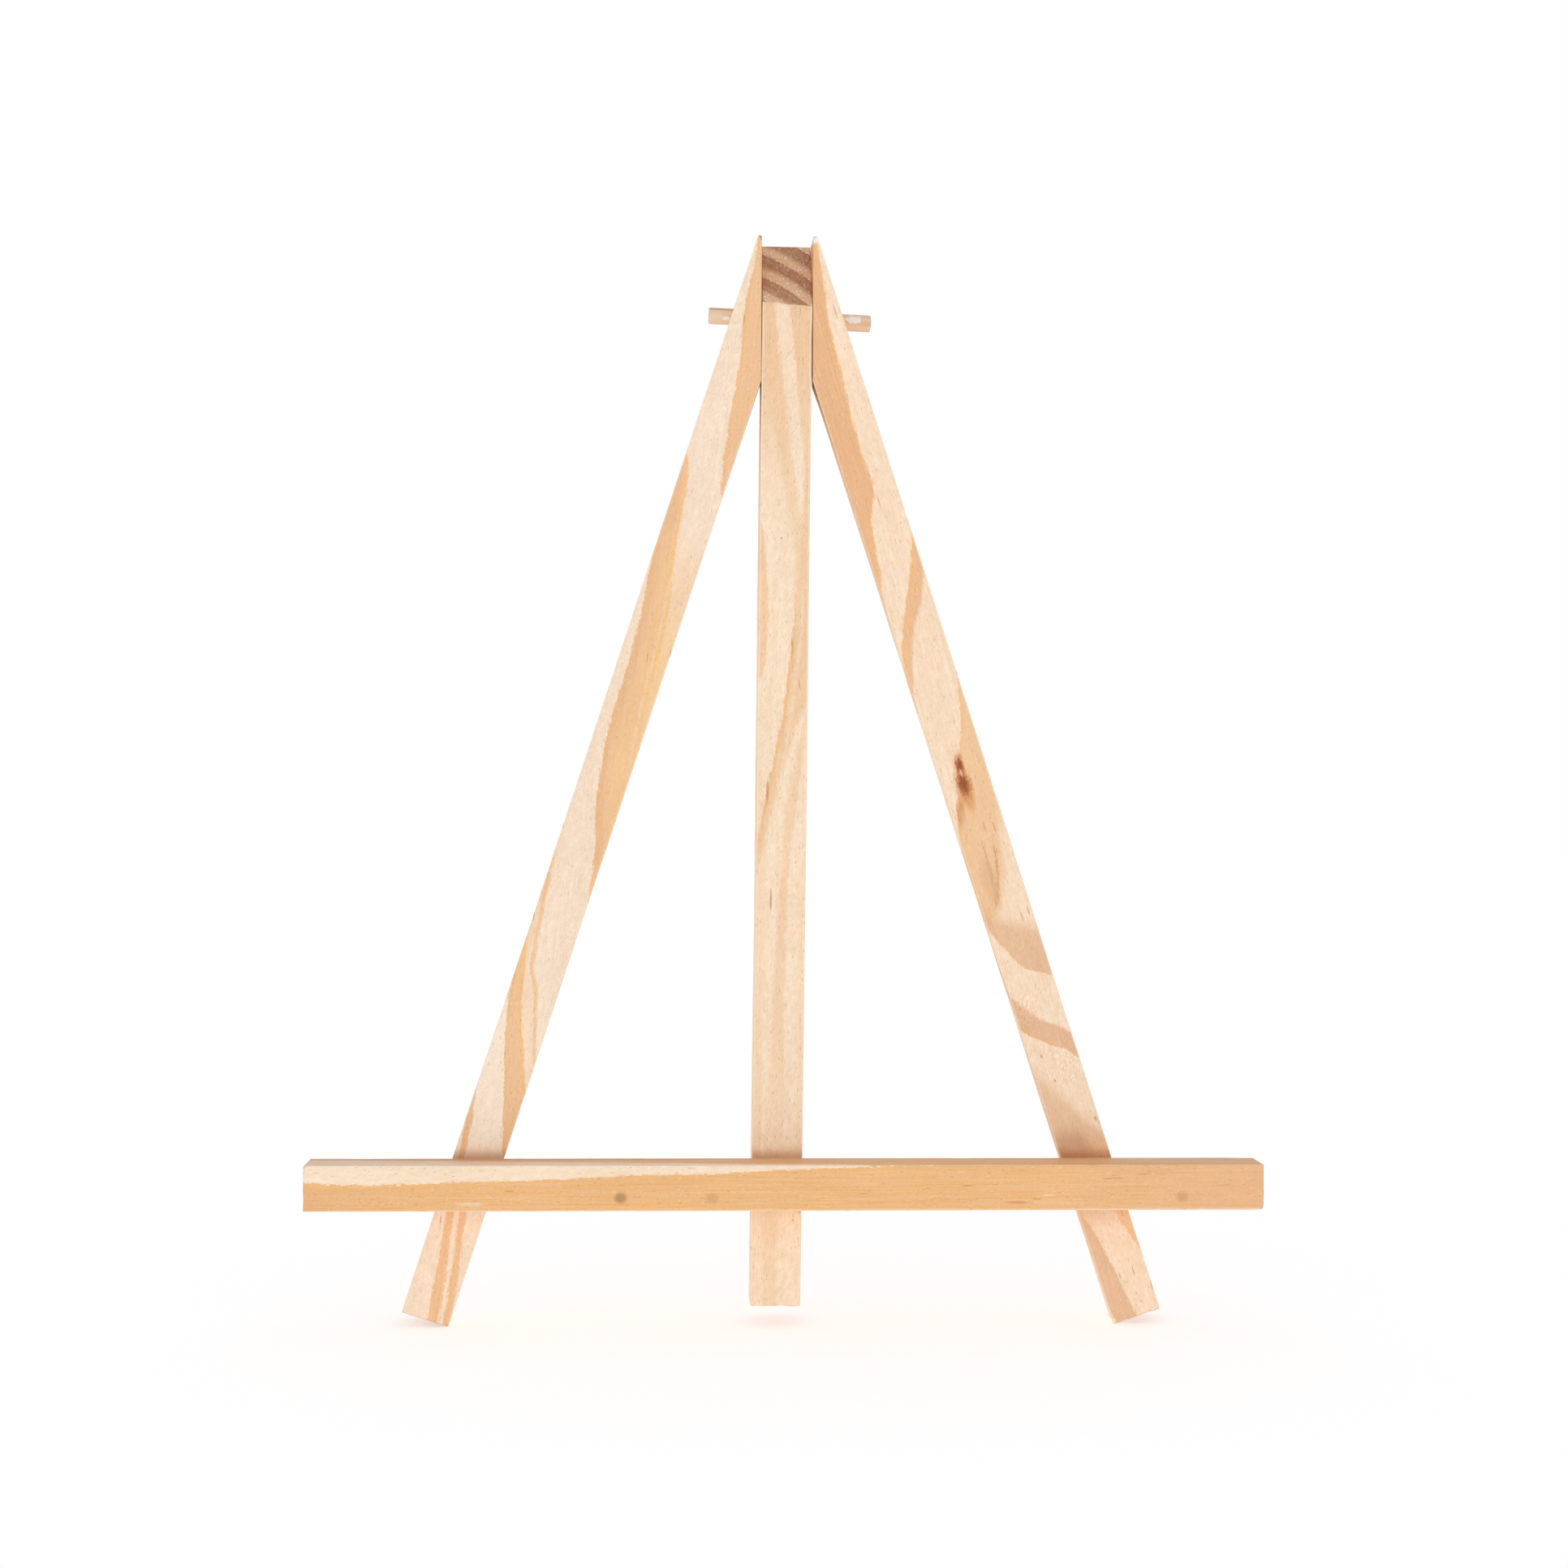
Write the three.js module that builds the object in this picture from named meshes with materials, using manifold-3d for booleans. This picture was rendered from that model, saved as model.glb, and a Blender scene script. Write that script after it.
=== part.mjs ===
// Small folding display easel, in millimetres, +Z up, +Y to the back.
// Two front legs lean together at the top and carry a ledge across the front. The rear
// leg hangs between them on a dowel through all three, and swings backwards. It stands
// folded, with the origin on the floor under the middle of the front frame.
import * as THREE from 'three';
import { mergeVertices } from 'three/addons/utils/BufferGeometryUtils.js';
import Module from 'manifold-3d';

const wasm = await Module();
wasm.setup();

// Driving dimensions: lengths in millimetres, angles in degrees.
const frameHeight = 280;      // floor to the tips of the front legs
const stickWidth = 12.5;      // the legs' stock, across the front
const stickDepth = 12.5;      // the legs' stock, front to back
const frontLean = 18;         // each front leg, from upright
const tipFlat = 1;            // what the saw leaves of each front leg's tip
const ledgeLength = 241;
const ledgeHeight = 11.5;
const ledgeDepth = 12.5;
const ledgeRise = 31.5;       // floor to the ledge's underside
const pivotDrop = 20.5;       // tips to the middle of the dowel
const dowelDiameter = 4.3;
const dowelOverhang = 6.8;    // each end of the dowel, past the front legs
const dowelTilt = 2.2;        // the dowel's right end sits lower
const fullSwing = 36;         // how far back the rear leg opens
const rearFootLift = 5;       // rear leg's end above the floor when folded
const rearLean = 0.45;        // rear leg off upright, its foot to the left
const bradGrip = 5.7;         // how deep a brad goes into the ledge
const bradDiameter = 1.3;
const bradPointLength = 2;
const bradHeadDiameter = 2.8;
const bradHeadThickness = 0.7;
const bradSpacing = 6;        // between the two brads of a leg, along the leg

// Named clearances
const faceGap = 0.3;          // between two faces that are fastened together
const swingGap = 0.2;         // least gap between the rear leg and the front legs
const dowelClearance = 0.25;  // round the dowel in the front legs
const pivotClearance = 0.1;   // where the tilted dowel comes closest to the rear leg's hole
const bradClearance = 0.2;

const roundSides = 32;
const bradSides = 20;
const cutOvershoot = 2;       // how far a cutting solid runs past the face it cuts

// Angles in radians
const lean = THREE.MathUtils.degToRad(frontLean);
const tilt = THREE.MathUtils.degToRad(dowelTilt);
const offUpright = THREE.MathUtils.degToRad(rearLean);
const swing = THREE.MathUtils.degToRad(fullSwing);

// Levels and planes that the pieces share
const legFront = faceGap / 2;
const legBack = legFront + stickDepth;
const legMiddle = legFront + stickDepth / 2;
const ledgeBack = -faceGap / 2;
const apexCut = stickWidth / 2 + pivotDrop * Math.tan(offUpright) + swingGap;
const pivotHeight = frameHeight - pivotDrop;
const ledgeMiddle = ledgeRise + ledgeHeight / 2;
const dowelLength = 2 * (outerEdge(pivotHeight) + dowelOverhang) / Math.cos(tilt);
const bradLength = legBack - ledgeBack + bradGrip;

// Distance of a front leg's outer edge from the middle, at a height
function outerEdge(height) {
  return apexCut + tipFlat + (frameHeight - height) * Math.tan(lean);
}

const colours = { pine: 0xf3d9b4, dowel: 0xe9cba0, steel: 0xa9a9a6 };

function finish(kind) {
  const isSteel = kind === 'steel';
  return new THREE.MeshStandardMaterial({
    color: colours[kind],
    roughness: isSteel ? 0.35 : 0.75,
    metalness: isSteel ? 1 : 0,
  });
}

// Solids for cutting
function toSolid(geometry) {
  const bare = geometry.clone();
  bare.deleteAttribute('normal');
  bare.deleteAttribute('uv');
  const merged = mergeVertices(bare);
  return new wasm.Manifold(new wasm.Mesh({
    numProp: 3,
    vertProperties: merged.attributes.position.array,
    triVerts: Uint32Array.from(merged.index.array),
  }));
}

function toGeometry(solid) {
  const cut = solid.getMesh();
  const geometry = new THREE.BufferGeometry();
  geometry.setAttribute('position', new THREE.BufferAttribute(cut.vertProperties, cut.numProp));
  geometry.setIndex(new THREE.BufferAttribute(cut.triVerts, 1));
  geometry.computeVertexNormals();
  return geometry;
}

function drill(geometry, cutters) {
  let solid = toSolid(geometry);
  for (const cutter of cutters) {
    solid = solid.subtract(toSolid(cutter));
  }
  return toGeometry(solid);
}

function named(name, geometry, kind) {
  const mesh = new THREE.Mesh(geometry, finish(kind));
  mesh.name = name;
  return mesh;
}

// A cylinder along X, centred on the origin
function barAlongX(radius, length) {
  const bar = new THREE.CylinderGeometry(radius, radius, length, roundSides);
  bar.rotateZ(Math.PI / 2);
  return bar;
}

// The dowel's shape in its place, larger all round by the clearance
function dowelSolid(clearance, length) {
  const bar = barAlongX(dowelDiameter / 2 + clearance, length);
  bar.rotateY(tilt);
  bar.translate(0, legMiddle, pivotHeight);
  return bar;
}

// A brad in its place, its head flush with the back of the leg and its point forward
function bradSolid(place, clearance) {
  const shank = bradDiameter / 2 + clearance;
  const head = bradHeadDiameter / 2 + clearance;
  const neck = bradHeadThickness + clearance;
  const tip = bradLength + clearance;
  const rim = clearance > 0 ? -cutOvershoot : 0;
  const profile = [
    new THREE.Vector2(0, rim),
    new THREE.Vector2(head, rim),
    new THREE.Vector2(head, neck),
    new THREE.Vector2(shank, neck),
    new THREE.Vector2(shank, tip - bradPointLength),
    new THREE.Vector2(0, tip),
  ];
  const brad = new THREE.LatheGeometry(profile, bradSides);
  brad.rotateX(Math.PI);
  brad.translate(place.x, legBack, place.z);
  return brad;
}

// Where the two brads of a front leg go: on its middle line, either side of the ledge's
function bradPlaces(side) {
  const middle = outerEdge(ledgeMiddle) - stickWidth / (2 * Math.cos(lean));
  const places = [];
  for (const end of [-1, 1]) {
    const along = end * bradSpacing / 2;
    places.push({
      x: side * (middle - along * Math.sin(lean)),
      z: ledgeMiddle + along * Math.cos(lean),
    });
  }
  return places;
}

// A front leg: foot cut square to the stick, top cut upright beside the rear leg
function frontLeg(side) {
  const footOuterHeight = stickWidth * Math.sin(lean);
  const footOuter = outerEdge(footOuterHeight);
  const footInner = footOuter - stickWidth * Math.cos(lean);
  const cutLength = (stickWidth / Math.cos(lean) - tipFlat) / Math.tan(lean);
  const outline = new THREE.Shape([
    new THREE.Vector2(side * apexCut, frameHeight),
    new THREE.Vector2(side * apexCut, frameHeight - cutLength),
    new THREE.Vector2(side * footInner, 0),
    new THREE.Vector2(side * footOuter, footOuterHeight),
    new THREE.Vector2(side * (apexCut + tipFlat), frameHeight),
  ]);
  const leg = new THREE.ExtrudeGeometry(outline, { depth: stickDepth, bevelEnabled: false });
  leg.rotateX(Math.PI / 2);
  leg.translate(0, legBack, 0);
  const cutters = [dowelSolid(dowelClearance, dowelLength + 2 * cutOvershoot)];
  for (const place of bradPlaces(side)) {
    cutters.push(bradSolid(place, bradClearance));
  }
  return drill(leg, cutters);
}

// The rear leg about its pivot. Its top slopes so that it comes level with the front of
// the easel at full swing, and its hole is wide enough to turn freely on a tilted dowel.
function rearLeg() {
  const top = pivotDrop;
  const foot = rearFootLift - pivotHeight;
  const front = -stickDepth / 2;
  const back = stickDepth / 2;
  const slopeRise = stickDepth / Math.tan(swing);
  const outline = new THREE.Shape([
    new THREE.Vector2(front, foot),
    new THREE.Vector2(back, foot),
    new THREE.Vector2(back, top),
    new THREE.Vector2(front, top - slopeRise),
  ]);
  const leg = new THREE.ExtrudeGeometry(outline, { depth: stickWidth, bevelEnabled: false });
  leg.translate(0, 0, -stickWidth / 2);
  leg.rotateX(Math.PI / 2);
  leg.rotateZ(Math.PI / 2);
  const reach = dowelDiameter / (2 * Math.cos(tilt)) + Math.tan(tilt) * stickWidth / 2;
  const facetLoss = Math.cos(Math.PI / roundSides);
  const hole = barAlongX((reach + pivotClearance) / facetLoss, stickWidth + 2 * cutOvershoot);
  return drill(leg, [hole]);
}

// The ledge with the blind holes that the brads make
function ledge() {
  const bar = new THREE.BoxGeometry(ledgeLength, ledgeDepth, ledgeHeight);
  bar.translate(0, ledgeBack - ledgeDepth / 2, ledgeMiddle);
  const cutters = [];
  for (const side of [-1, 1]) {
    for (const place of bradPlaces(side)) {
      cutters.push(bradSolid(place, bradClearance));
    }
  }
  return drill(bar, cutters);
}

const easel = new THREE.Group();
easel.add(named('front_left_leg', frontLeg(-1), 'pine'));
easel.add(named('front_right_leg', frontLeg(1), 'pine'));
easel.add(named('ledge', ledge(), 'pine'));
easel.add(named('pivot_dowel', dowelSolid(0, dowelLength), 'dowel'));

const places = [...bradPlaces(-1), ...bradPlaces(1)];
places.forEach((place, index) => {
  easel.add(named(`ledge_brad_${index + 1}`, bradSolid(place, 0), 'steel'));
});

const pivot = new THREE.Group();
pivot.position.set(0, legMiddle, pivotHeight);
pivot.rotation.y = offUpright;
pivot.add(named('rear_leg', rearLeg(), 'pine'));
easel.add(pivot);

export default easel;
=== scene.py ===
"""The looks of a small folding pine easel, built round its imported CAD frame.

Metres, +Z up, +Y to the back. Every stick is a mesh of rings with eased arrises and sawn
ends, in a solid pine material whose growth rings run through the stick. Distances that
describe wood are in millimetres, in the stick's own directions: across, back and along.
"""

import math

import bmesh
import bpy
from mathutils import Matrix, Vector, noise


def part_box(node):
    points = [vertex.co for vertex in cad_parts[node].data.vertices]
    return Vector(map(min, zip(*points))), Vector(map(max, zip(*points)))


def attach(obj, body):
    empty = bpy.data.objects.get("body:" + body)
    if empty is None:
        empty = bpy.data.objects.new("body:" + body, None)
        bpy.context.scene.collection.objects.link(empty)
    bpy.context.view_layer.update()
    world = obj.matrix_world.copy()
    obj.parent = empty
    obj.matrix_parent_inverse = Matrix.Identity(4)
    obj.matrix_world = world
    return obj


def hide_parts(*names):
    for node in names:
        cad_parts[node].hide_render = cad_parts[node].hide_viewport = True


MM = 0.001
UP = Vector((0, 0, 1))
BACK = Vector((0, 1, 0))
FORWARD = Vector((0, -1, 0))

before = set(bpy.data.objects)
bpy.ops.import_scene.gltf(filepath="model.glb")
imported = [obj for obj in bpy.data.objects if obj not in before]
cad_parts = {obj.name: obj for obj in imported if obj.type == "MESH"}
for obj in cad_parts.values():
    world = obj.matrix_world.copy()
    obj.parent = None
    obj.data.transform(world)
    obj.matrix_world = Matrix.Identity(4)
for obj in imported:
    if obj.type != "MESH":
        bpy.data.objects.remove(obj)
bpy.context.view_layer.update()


# ---------------- places from the frame


def corner(node, *direction):
    """The vertex of a CAD node that lies furthest in a direction."""
    towards = Vector(direction)
    return max((v.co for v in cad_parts[node].data.vertices), key=towards.dot).copy()


class Stick:
    """A stick's own directions and size: across it, to its back, and along it."""

    def __init__(self, node, origin, across, back, along, size):
        self.node = node
        self.origin = origin
        self.across = across
        self.back = back
        self.along = along
        self.width, self.depth, self.length = size

    def place(self, across, back, along):
        """A point given in millimetres in the stick's directions, in the row frame."""
        step = self.across * across + self.back * back + self.along * along
        return self.origin + step * MM


def front_leg_stick(node, side):
    """A front leg, from its tip down, with its left edge at across = 0."""
    tip = corner(node, side * 0.01, -0.01, 1)
    foot_outer = corner(node, side, -0.01, 0)
    foot_inner = corner(node, 0, -0.01, -1)
    low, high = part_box(node)
    across = (foot_inner - foot_outer) * -side
    width = across.length / MM
    across.normalize()
    origin = tip - across * width * MM if side > 0 else tip
    size = (width, (high.y - low.y) / MM, (foot_outer - tip).length / MM)
    return Stick(node, origin, across, BACK, (foot_outer - tip).normalized(), size)


def rear_leg_stick(node):
    """The rear leg, from the back edge of its sloped top down."""
    top = corner(node, -0.01, 0.01, 1)
    foot_left = corner(node, -1, 0.01, -1)
    foot_right = corner(node, 1, 0.01, -1)
    low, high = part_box(node)
    across = foot_right - foot_left
    depth = high.y - low.y
    size = (across.length / MM, depth / MM, (foot_left - top).length / MM)
    origin = top - BACK * depth
    along = (foot_left - top).normalized()
    return Stick(node, origin, across.normalized(), BACK, along, size)


def ledge_stick(node):
    """The ledge, from its left end to its right, with its top at across = 0."""
    low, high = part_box(node)
    size = ((high.z - low.z) / MM, (high.y - low.y) / MM, (high.x - low.x) / MM)
    origin = Vector((low.x, low.y, high.z))
    return Stick(node, origin, -UP, BACK, Vector((1, 0, 0)), size)


# ---------------- meshes


def rounded_outline(width, depth, radius, side_steps=10, corner_steps=4):
    """Points round a rectangle with round corners, and how much of a corner each is."""
    points = []
    for index, (u, v) in enumerate(((0, 0), (width, 0), (width, depth), (0, depth))):
        centre_u = u + (radius if u == 0 else -radius)
        centre_v = v + (radius if v == 0 else -radius)
        start = math.pi + index * math.pi / 2
        for step in range(corner_steps + 1):
            angle = start + step / corner_steps * math.pi / 2
            place = (centre_u + radius * math.cos(angle), centre_v + radius * math.sin(angle))
            points.append((*place, 1.0))
        run = (width if index % 2 == 0 else depth) - 2 * radius
        turn = index * math.pi / 2
        for step in range(1, side_steps):
            reach = radius + run * step / side_steps
            edge_u = u + reach * math.cos(turn)
            edge_v = v + reach * math.sin(turn)
            points.append((edge_u, edge_v, 0.0))
    return points


def waver(seed, *place):
    """Smooth noise from -1 to 1 that is the same on every run."""
    return noise.noise(Vector(place) + Vector((seed * 7.31, seed * 3.17, seed * 5.73)))


class Record:
    """Holds the values it is made with, over its class's own defaults."""

    def __init__(self, **values):
        self.__dict__.update(values)


class StickShape(Record):
    """What makes one stick's surface its own.

    Start and end give the sawn ends, as places along for each place across and back. Bow
    and slant bend and turn the whole stick, draft tapers its inner side, swell makes it
    fuller, and wear and ragged roughen its arrises and its ends. A dent is (across, back,
    along, reach, depth).
    """

    arris = 0.2
    swell = 0.0
    bow = 0.15
    wear = 0.16
    ragged = 0.12
    draft = 0.0
    draft_reach = (0, 1)
    slant = 0.0
    dents = ()


RING_STEP = 1.2  # between a stick's rings, along it
END_EASE = 0.14  # how far the edges of the sawn ends are eased
END_INSETS = (0.12, 0.3, 0.5, 0.7, 0.86)  # the rings that fill an end, as shares of its size
RIM_INSET = 0.9  # rings wider than this belong to the rim of an end
INNER_ROUGHNESS = 0.4  # how rough an end is inside its rim
RIPPLE = 0.02  # how far the planed faces waver
HELD_LENGTH = 35  # a stick bows only below what the dowel holds
BOW_ONSET = 60  # the length over which the bow sets in


def share(value, low, high):
    """How far a value is on its way from low to high, from 0 to 1."""
    return min(1.0, max(0.0, (value - low) / (high - low)))


def surface_point(stick, shape, u, v, s, corner_share):
    """Where a point of the ideal stick goes once sawing, planing and handling are added."""
    middle_u = stick.width / 2
    middle_v = stick.depth / 2
    out_u = (u - middle_u) / middle_u
    out_v = (v - middle_v) / middle_v
    inward = RIPPLE * waver(shape.seed, u * 0.15, v * 0.15, s * 0.05) - shape.swell
    worn = max(0.0, waver(shape.seed + 1, u * 0.4, v * 0.4, s * 0.11)) ** 2
    inward += corner_share * shape.wear * worn
    for dent_u, dent_v, dent_s, reach, depth in shape.dents:
        distance = math.dist((u, v, s), (dent_u, dent_v, dent_s)) / reach
        if distance < 1:
            inward += depth * (1 - distance**2) ** 2
    free = share(s, HELD_LENGTH, HELD_LENGTH + BOW_ONSET)
    swing = shape.bow * free * waver(shape.seed + 2, s * 0.008, 0, 0)
    swing += shape.slant * s / stick.length
    drafted = share(s, *shape.draft_reach) * v / stick.depth
    inner_side = max(0.0, out_u * math.copysign(1, shape.draft))
    pull = shape.draft * drafted * inner_side
    return u - out_u * inward + swing - pull, v - out_v * inward, s


def skin(bm, rings):
    """Joins each ring of vertices to the next, and fills in the ends that aren't points."""
    for first, second in zip(rings, rings[1:]):
        size = max(len(first), len(second))
        for index in range(size):
            after = (index + 1) % size
            if len(first) == 1:
                bm.faces.new((first[0], second[after], second[index]))
            elif len(second) == 1:
                bm.faces.new((first[index], first[after], second[0]))
            else:
                bm.faces.new((first[index], first[after], second[after], second[index]))
    if len(rings[0]) > 1:
        bm.faces.new(list(reversed(rings[0])))
    if len(rings[-1]) > 1:
        bm.faces.new(rings[-1])
    bmesh.ops.recalc_face_normals(bm, faces=bm.faces)


def stick_mesh(stick, shape):
    """A closed mesh of rings from one sawn end to the other, with both ends filled in."""
    outline = rounded_outline(stick.width, stick.depth, shape.arris)
    middle_u = stick.width / 2
    middle_v = stick.depth / 2
    bm = bmesh.new()

    def ring(way, inset=1.0, ease=0.0, end_face=0):
        """Vertices round the stick, at a share of the way along, drawn in by an inset."""
        vertices = []
        for u, v, corner_share in outline:
            in_u = middle_u + (u - middle_u) * inset
            in_v = middle_v + (v - middle_v) * inset
            top = shape.start(in_u, in_v)
            s = top + (shape.end(in_u, in_v) - top) * way + ease
            on_rim = inset > RIM_INSET
            if end_face:
                rough = max(0.0, waver(shape.seed + 3, in_u * 0.9, in_v * 0.9, s))
                s -= end_face * shape.ragged * rough * (1.0 if on_rim else INNER_ROUGHNESS)
            place = surface_point(stick, shape, in_u, in_v, s, corner_share if on_rim else 0)
            vertices.append(bm.verts.new(stick.place(*place)))
        return vertices

    narrow = 1 - 2 * END_EASE / min(stick.width, stick.depth)
    rim = (1 + narrow) / 2
    rim_ease = END_EASE * 0.3
    steps = max(2, round(stick.length / RING_STEP))
    rings = [ring(0, inset, end_face=-1) for inset in (*END_INSETS, narrow)]
    rings.append(ring(0, rim, rim_ease, end_face=-1))
    rings.append(ring(0, ease=END_EASE))
    rings.extend(ring(step / steps) for step in range(1, steps))
    rings.append(ring(1, ease=-END_EASE))
    rings.append(ring(1, rim, -rim_ease, end_face=1))
    rings.extend(ring(1, inset, end_face=1) for inset in (narrow, *reversed(END_INSETS)))
    skin(bm, rings)
    return bm


def to_object(bm, name, smooth_angle=40):
    """A mesh object at the origin, shaded smooth but for its sharp edges."""
    mesh = bpy.data.meshes.new(name)
    bm.to_mesh(mesh)
    bm.free()
    piece = bpy.data.objects.new(name, mesh)
    bpy.context.scene.collection.objects.link(piece)
    mesh.shade_smooth()
    mesh.set_sharp_from_angle(angle=math.radians(smooth_angle))
    return piece


def cylinder(bm, centre, axis, radius, length, sides=40):
    """Adds a closed cylinder about a centre, along an axis."""
    turn = axis.to_track_quat("Z", "Y").to_matrix().to_4x4()
    bmesh.ops.create_cone(
        bm,
        cap_ends=True,
        segments=sides,
        radius1=radius,
        radius2=radius,
        depth=length,
        matrix=Matrix.Translation(centre) @ turn,
    )


def cut(piece, cutter_bm):
    """Cuts the cutter's solids out of a piece."""
    mesh = bpy.data.meshes.new("cutter")
    cutter_bm.to_mesh(mesh)
    cutter_bm.free()
    cutter = bpy.data.objects.new("cutter", mesh)
    bpy.context.scene.collection.objects.link(cutter)
    hole = piece.modifiers.new("holes", "BOOLEAN")
    hole.operation = "DIFFERENCE"
    hole.solver = "EXACT"
    hole.object = cutter
    bpy.context.view_layer.update()
    depsgraph = bpy.context.evaluated_depsgraph_get()
    done = bpy.data.meshes.new_from_object(piece.evaluated_get(depsgraph))
    piece.modifiers.clear()
    piece.data = done
    done.name = piece.name
    bpy.data.objects.remove(cutter)


# ---------------- shader arithmetic


def arithmetic(operation, swapped=False):
    """A method that does one sum between a Term and another Term or a number."""

    def answer(self, other):
        values = (other, self) if swapped else (self, other)
        return self.graph.math(operation, *values)

    return answer


class Term:
    """A shader socket that plain arithmetic works on."""

    def __init__(self, graph, socket):
        self.graph = graph
        self.socket = socket

    __add__ = arithmetic("ADD")
    __radd__ = arithmetic("ADD", swapped=True)
    __sub__ = arithmetic("SUBTRACT")
    __rsub__ = arithmetic("SUBTRACT", swapped=True)
    __mul__ = arithmetic("MULTIPLY")
    __rmul__ = arithmetic("MULTIPLY", swapped=True)
    __truediv__ = arithmetic("DIVIDE")


class Graph:
    """A material's node tree, built by calls that return Terms."""

    def __init__(self, name):
        self.material = bpy.data.materials.new(name)
        self.material.use_nodes = True
        self.tree = self.material.node_tree
        self.shader = self.tree.nodes["Principled BSDF"]

    def node(self, kind, **settings):
        made = self.tree.nodes.new(kind)
        for key, value in settings.items():
            setattr(made, key, value)
        return made

    def feed(self, socket, value):
        if isinstance(value, Term):
            self.tree.links.new(value.socket, socket)
        else:
            socket.default_value = value

    def math(self, operation, *values):
        made = self.node("ShaderNodeMath", operation=operation)
        for socket, value in zip(made.inputs, values):
            self.feed(socket, value)
        return Term(self, made.outputs[0])

    def dot(self, vector, direction):
        made = self.node("ShaderNodeVectorMath", operation="DOT_PRODUCT")
        self.feed(made.inputs[0], vector)
        made.inputs[1].default_value = direction
        return Term(self, made.outputs["Value"])

    def vector(self, x, y, z):
        made = self.node("ShaderNodeCombineXYZ")
        for socket, value in zip(made.inputs, (x, y, z)):
            self.feed(socket, value)
        return Term(self, made.outputs[0])

    def coordinate(self, output):
        """The object's own coordinates, or the direction that its surface faces."""
        return Term(self, self.node("ShaderNodeTexCoord").outputs[output])

    def noise(self, vector, detail=2.0, roughness=0.5):
        """Noise about 0, from about -1 to 1."""
        made = self.node("ShaderNodeTexNoise", noise_dimensions="3D")
        self.feed(made.inputs["Vector"], vector)
        made.inputs["Scale"].default_value = 1.0
        made.inputs["Detail"].default_value = detail
        made.inputs["Roughness"].default_value = roughness
        return (Term(self, made.outputs["Fac"]) - 0.5) * 2.0

    def length(self, *parts):
        """The length of a vector with these parts."""
        total = parts[0] * parts[0]
        for part in parts[1:]:
            total = total + part * part
        return self.math("SQRT", total)

    def smooth(self, value, low, high, to_low=0.0, to_high=1.0):
        """Goes gently from to_low to to_high as the value goes from low to high."""
        made = self.node("ShaderNodeMapRange", interpolation_type="SMOOTHSTEP")
        for socket, given in zip(made.inputs, (value, low, high, to_low, to_high)):
            self.feed(socket, given)
        return Term(self, made.outputs[0])

    def curve(self, value, points):
        """A smooth curve through (place, height) points, for a value from 0 to 1."""
        heights = [height for _, height in points]
        low = min(heights)
        span = max(heights) - low
        made = self.node("ShaderNodeFloatCurve")
        line = made.mapping.curves[0]
        line.points[0].location = (points[0][0], (points[0][1] - low) / span)
        line.points[1].location = (points[-1][0], (points[-1][1] - low) / span)
        for place, height in points[1:-1]:
            line.points.new(place, (height - low) / span)
        for point in line.points:
            point.handle_type = "AUTO"
        made.mapping.use_clip = False
        made.mapping.extend = "EXTRAPOLATED"
        made.mapping.update()
        self.feed(made.inputs["Value"], value)
        return Term(self, made.outputs[0]) * span + low

    def mix(self, amount, first, second, blend="MIX"):
        made = self.node("ShaderNodeMix", data_type="RGBA", blend_type=blend)
        self.feed(made.inputs["Factor"], amount)
        self.feed(made.inputs[6], first)
        self.feed(made.inputs[7], second)
        return Term(self, made.outputs[2])

    def shaded(self, colour, level):
        return self.mix(1.0, colour, self.vector(level, level, level), "MULTIPLY")

    def bump(self, height, distance, strength):
        made = self.node("ShaderNodeBump")
        made.inputs["Strength"].default_value = strength
        made.inputs["Distance"].default_value = distance
        self.feed(made.inputs["Height"], height)
        return Term(self, made.outputs[0])

    def finish(self, colour, roughness, normal):
        """Joins up the shader, and gives the material back."""
        self.feed(self.shader.inputs["Base Color"], colour)
        self.feed(self.shader.inputs["Roughness"], roughness)
        self.feed(self.shader.inputs["Normal"], normal)
        return self.material


def paint(red, green, blue):
    """A colour given as it looks on a screen, 0 to 255."""
    def linear(level):
        level /= 255
        return level / 12.92 if level <= 0.04045 else ((level + 0.055) / 1.055) ** 2.4

    return (linear(red), linear(green), linear(blue), 1.0)


# ---------------- pine

CREAM = paint(246, 221, 192)
PALE = paint(251, 229, 204)
HONEY = paint(241, 202, 158)
ORANGE = paint(239, 188, 137)
AMBER = paint(238, 179, 112)
TAN = paint(226, 176, 134)
END_CREAM = paint(228, 188, 152)
END_BROWN = paint(174, 120, 90)
END_PALE = paint(252, 232, 206)
RIM = paint(244, 188, 120)
GOLD = paint(246, 200, 142)
RESIN = paint(194, 136, 80)
# painted shade for the corner just above the ledge
CORNER_SHADE = paint(184, 119, 68)
KNOT_DARK = paint(146, 78, 44)
KNOT_RED = paint(208, 130, 76)
# grey stains, and painted shade at the back of the ledge's top
GREY_STAIN_AND_SHADE = paint(170, 124, 84)
FILLER = paint(246, 236, 232)
LEFT_GROUND = paint(245, 219, 193)
RIGHT_GROUND = paint(249, 216, 182)
REAR_GROUND = paint(249, 221, 188)
LEDGE_GROUND = paint(251, 225, 194)
DOWEL_GROUND = paint(236, 208, 180)
MILKY = paint(255, 237, 216)
TOP_HONEY = paint(237, 192, 148)
SOFT_HONEY = paint(238, 197, 153)
DEEP_ORANGE = paint(231, 175, 124)
FLAME = paint(236, 183, 134)
LIGHT_ORANGE = paint(240, 193, 142)
PINK_ORANGE = paint(234, 186, 146)
RED_SMEAR = paint(206, 132, 78)
RED_STREAK = paint(224, 146, 92)
KNOT_GLOW = paint(242, 176, 108)
KNOT_HALO = paint(212, 146, 94)
# painted shade for the right leg just above the ledge
RIGHT_LEDGE_SHADE = paint(190, 136, 98)
WHITE_TIP = paint(250, 248, 250)
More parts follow.
